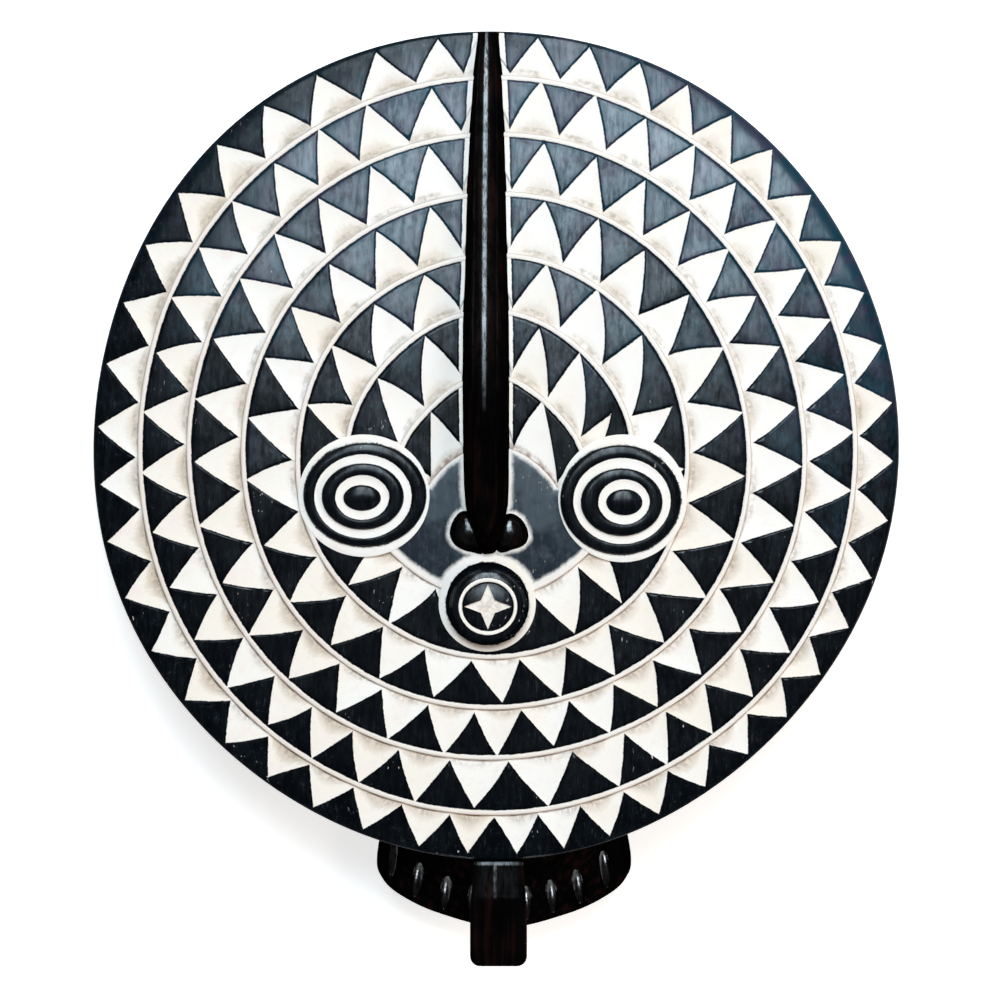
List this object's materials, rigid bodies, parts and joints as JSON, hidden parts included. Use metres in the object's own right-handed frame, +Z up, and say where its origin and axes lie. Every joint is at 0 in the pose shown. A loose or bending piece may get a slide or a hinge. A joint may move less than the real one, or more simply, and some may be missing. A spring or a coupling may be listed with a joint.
{
  "type": "bwa sun mask",
  "caption": "Round carved wooden sun mask with rings of black and white triangles, ringed eyes, a long nose fin, a tube mouth, a tab below the chin and a face cup behind.",
  "frame": {"origin": "middle of the bounding box, on the surface the mask lies on", "axes": "+Z up, out of the face as it lies on its back; +Y towards the top of the forehead; +X towards its left eye, on the viewer's right"},
  "size_m": [0.481, 0.5498, 0.1306],
  "materials": {
    "carved_wood": "glossy black paint, cream in the cuts"
  },
  "bodies": {
    "root": {"sun_mask": "carved_wood"}
  },
  "joints": []
}
